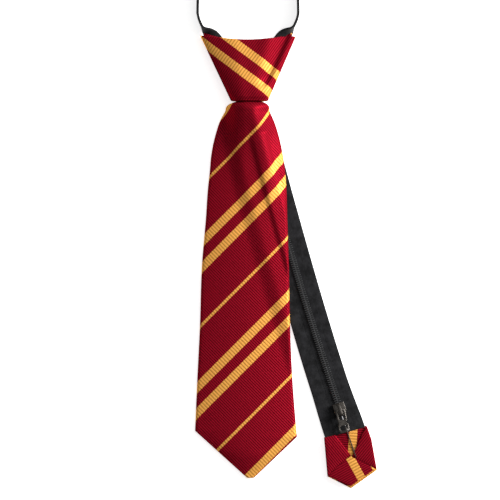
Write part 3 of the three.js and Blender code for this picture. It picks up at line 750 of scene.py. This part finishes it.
# A layer's section from under its middle, round the edge and over: the share out from the middle,
# the share up its thickness and the share of its crown
FOLD_PROFILE = [
    (0.5, 0, 0), (0.97, 0, 0), (1.0, 0.3, 0), (1.0, 0.65, 0), (0.985, 0.92, 0),
    (0.955, 1, 0), (0.85, 1, 0.5), (0.6, 1, 0.85), (0.3, 1, 1.0),
]
POINTS_PER_EDGE = 14


def make_fold(name, corners_px, middle_px, low, high, crown, stripe_px, across):
    """A folded layer of cloth: its outline drawn in round a middle point, with a rounded edge."""
    outline = from_photo(corners_px)
    edges = zip(outline, np.roll(outline, -1, axis=0))
    line = np.concatenate([np.linspace(a, b, POINTS_PER_EDGE, endpoint=False) for a, b in edges])
    hub = from_photo(middle_px)
    rings = []
    for scale, up, rise in FOLD_PROFILE:
        z = mix(low, high, up) + crown * rise
        rings.append(np.column_stack([hub + (line - hub) * scale, np.full(len(line), z)]))
    points, faces = loft(np.array(rings))
    start, end = from_photo(stripe_px)
    ahead = (end - start) / np.linalg.norm(end - start)
    offset = points[:, :2] - start
    beside = offset @ np.array([-ahead[1], ahead[0]])
    cloth = np.column_stack([across + beside, offset @ ahead])
    fold = mesh_piece(name, points, faces, STRIPED, cloth, slot="striped_cloth")
    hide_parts("tail_tip")


# Metal parts


WELD_MM = 0.01


def bevelled(name, node, body, width, segments=2):
    """A copy of a hard solid with its edges rounded, the width in millimetres."""
    source = bpy.data.objects[node]
    piece = bpy.data.objects.new(name, source.data.copy())
    piece.matrix_world = source.matrix_world.copy()
    bpy.context.scene.collection.objects.link(piece)
    piece.data.materials.clear()
    piece.data.materials.append(METAL)
    piece.data.polygons.foreach_set("use_smooth", np.ones(len(piece.data.polygons), bool))
    weld = piece.modifiers.new("weld", "WELD")
    weld.merge_threshold = WELD_MM * MM
    bevel = piece.modifiers.new("bevel", "BEVEL")
    bevel.width = width * MM
    bevel.segments = segments
    bevel.limit_method = "ANGLE"
    bevel.harden_normals = True
    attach(piece, body)
    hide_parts(node)


make_strap("strap_left_cloth", "strap_left", -1)
make_strap("strap_right_cloth", "strap_right", 1)
make_tape("zip_tape_left_cloth", "zip_tape_left", -1)
make_tape("zip_tape_right_cloth", "zip_tape_right", 1)
make_teeth("zip_teeth", "zip_chain")
for layer in TIP_LAYERS:
    make_fold(**layer)
bevelled("slider_metal", "slider", "tie", 0.25)
bevelled("pull_tab_metal", "pull_tab", "pull", 0.3)
bevelled("pull_ring_metal", "pull_ring", "pull", 0.02, 1)

# Camera, surface and light

CAMERA_HEIGHT_M = 3.0
CAMERA_SIGHT_M = 20
SENSOR_MM = 36.0
TIE_MIDDLE_M = Vector((0, -0.12, 0))
SURFACE_HALF_M = 4
middle_x = (PHOTO_PIXELS / 2 - KNOT_AXIS_PIXEL) * PIXEL_MM * MM
middle_y = (KNOT_MIDDLE_PIXEL - PHOTO_PIXELS / 2) * PIXEL_MM * MM
camera_data = bpy.data.cameras.new("camera")
camera_data.sensor_width = SENSOR_MM
camera_data.lens = SENSOR_MM * CAMERA_HEIGHT_M / (PHOTO_PIXELS * PIXEL_MM * MM)
camera_data.clip_end = CAMERA_SIGHT_M
camera = bpy.data.objects.new("camera", camera_data)
camera.location = (middle_x, middle_y, CAMERA_HEIGHT_M)
bpy.context.scene.collection.objects.link(camera)
bpy.context.scene.camera = camera


def soft_light(name, place, size, power):
    """A white square area light at a place in metres, turned to the middle of the tie."""
    data = bpy.data.lights.new(name, "AREA")
    data.size = size
    data.energy = power
    light = bpy.data.objects.new(name, data)
    light.location = place
    direction = TIE_MIDDLE_M - Vector(place)
    light.rotation_euler = direction.to_track_quat("-Z", "Y").to_euler()
    bpy.context.scene.collection.objects.link(light)


soft_light("key", place=(1.3, 0.45, 0.75), size=0.9, power=72)
soft_light("fill", place=(0.3, 0.5, 1.6), size=1.6, power=7)

world = bpy.data.worlds.new("surroundings")
world.use_nodes = True
sky = world.node_tree.nodes["Background"]
sky.inputs["Color"].default_value = (1, 1, 1, 1)
sky.inputs["Strength"].default_value = 0.22
bpy.context.scene.world = world
bpy.context.scene.view_settings.view_transform = "Standard"

floor_signs = ((-1, -1), (1, -1), (1, 1), (-1, 1))
floor_corners = [(x * SURFACE_HALF_M, y * SURFACE_HALF_M, 0) for x, y in floor_signs]
floor_mesh = bpy.data.meshes.new("surface")
floor_mesh.from_pydata(floor_corners, [], [(0, 1, 2, 3)])
paper, _, paper_surface = new_material("white_surface")
paper_surface.inputs["Base Color"].default_value = linear("f4f4f4")
paper_surface.inputs["Roughness"].default_value = 0.95
paper_surface.inputs["Emission Color"].default_value = (1, 1, 1, 1)
paper_surface.inputs["Emission Strength"].default_value = 0.7
floor_mesh.materials.append(paper)
floor = bpy.data.objects.new("surface", floor_mesh)
bpy.context.scene.collection.objects.link(floor)
